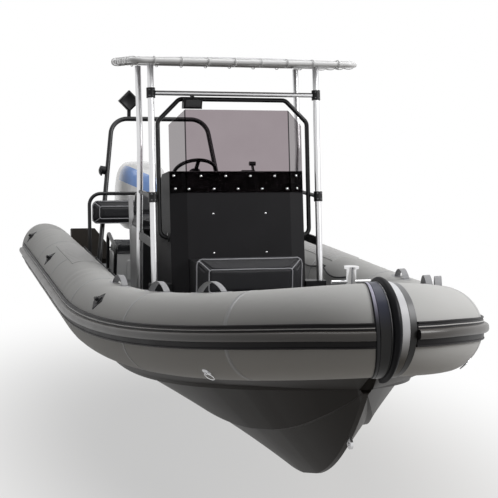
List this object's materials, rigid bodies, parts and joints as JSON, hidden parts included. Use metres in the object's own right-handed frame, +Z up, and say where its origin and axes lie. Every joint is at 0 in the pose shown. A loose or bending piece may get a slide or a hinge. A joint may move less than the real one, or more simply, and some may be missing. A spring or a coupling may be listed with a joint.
{
  "type": "rigid inflatable boat",
  "caption": "Rigid inflatable boat with grey tubes, a black console, a smoked screen, a laced T-top, a stern arch and an outboard engine that steers and tilts.",
  "frame": {"origin": "on the waterline, amidships on the centreline", "axes": "+X to the bow, +Y to port, +Z up"},
  "size_m": [7.7137, 2.7362, 3.0543],
  "materials": {
    "hull_gelcoat": "charcoal gelcoat",
    "deck_gelcoat": "grey non-slip gelcoat",
    "tube_fabric": "grey coated fabric",
    "black_rubber": "moulded black rubber",
    "webbing": "woven strap",
    "rope": "braided rope",
    "pale_pad": "pale ribbed pad",
    "steel": "brushed stainless",
    "polished_steel": "polished stainless",
    "black_gelcoat": "black gelcoat",
    "smoked_screen": "smoked acrylic",
    "black_tube": "black powder coat",
    "vinyl": "black vinyl with pale piping",
    "grey_vinyl": "dark grey vinyl",
    "control_plastic": "black grained plastic",
    "white_gelcoat": "light grey gelcoat",
    "aluminium_tube": "polished aluminium",
    "clamp_plastic": "black moulding",
    "white_tube": "white powder coat",
    "canvas": "white laced canvas",
    "lamp_black": "black housing",
    "engine_bracket": "dark grey paint",
    "engine_grey": "light grey paint",
    "engine_white": "white gloss paint",
    "engine_core": "bare casting",
    "propeller_black": "black paint"
  },
  "bodies": {
    "boat": {"hull_shell": "hull_gelcoat", "transom": "hull_gelcoat", "deck": "deck_gelcoat", "tube_port": "tube_fabric", "tube_starboard": "tube_fabric", "rub_strakes": "black_rubber", "bow_band": "black_rubber", "bow_rib": "black_rubber", "tube_cleats": "black_rubber", "tube_handles": "webbing", "lifelines": "rope", "step_pads": "pale_pad", "tow_rings": "steel", "towing_eyes": "steel", "bow_post": "polished_steel", "console": "black_gelcoat", "front_seat_box": "black_gelcoat", "windscreen": "smoked_screen", "console_hoop": "black_tube", "grab_frames": "black_tube", "stern_arch": "black_tube", "backrest_frame": "black_tube", "front_cushion": "vinyl", "front_backrest": "vinyl", "helm_cushion": "vinyl", "rear_cushion": "vinyl", "rear_backrest": "vinyl", "helm_backrest": "grey_vinyl", "throttle": "control_plastic", "helm_seat_base": "white_gelcoat", "rear_bench": "white_gelcoat", "top_legs_front": "aluminium_tube", "top_legs_rear": "aluminium_tube", "top_crossbar": "aluminium_tube", "leg_clamps": "clamp_plastic", "roof_frame": "white_tube", "canopy": "canvas", "deck_lamp": "lamp_black", "arch_lamps": "lamp_black", "engine_clamp": "engine_bracket"},
    "swivel": {"engine_swivel": "engine_bracket"},
    "engine": {"engine_leg": "engine_grey", "engine_pan": "engine_grey", "engine_cowl": "engine_white", "engine_block": "engine_core"},
    "propeller": {"propeller": "propeller_black"},
    "helm_wheel": {"helm_wheel": "control_plastic"}
  },
  "joints": [
    {"name": "engine_tilt", "type": "hinge", "parent": "boat", "child": "swivel", "pos_m": [-3.3337, 0, 0.29], "axis": [0, 1, 0], "range_deg": [0, 65]},
    {"name": "engine_steer", "type": "hinge", "parent": "swivel", "child": "engine", "pos_m": [-3.4957, 0, 0.25], "axis": [0, 0, 1], "range_deg": [-30, 30]},
    {"name": "propeller_spin", "type": "hinge", "parent": "engine", "child": "propeller", "pos_m": [-3.9937, 0, -0.67], "axis": [1, 0, 0], "continuous": true},
    {"name": "helm_turn", "type": "hinge", "parent": "boat", "child": "helm_wheel", "pos_m": [-0.12556, -0.23, 1.22086], "axis": [-0.6285, 0, 0.7778], "range_deg": [-540, 540]}
  ],
  "couplings": [
    {"joint": "helm_turn", "follows": "engine_steer", "ratio": -18}
  ]
}
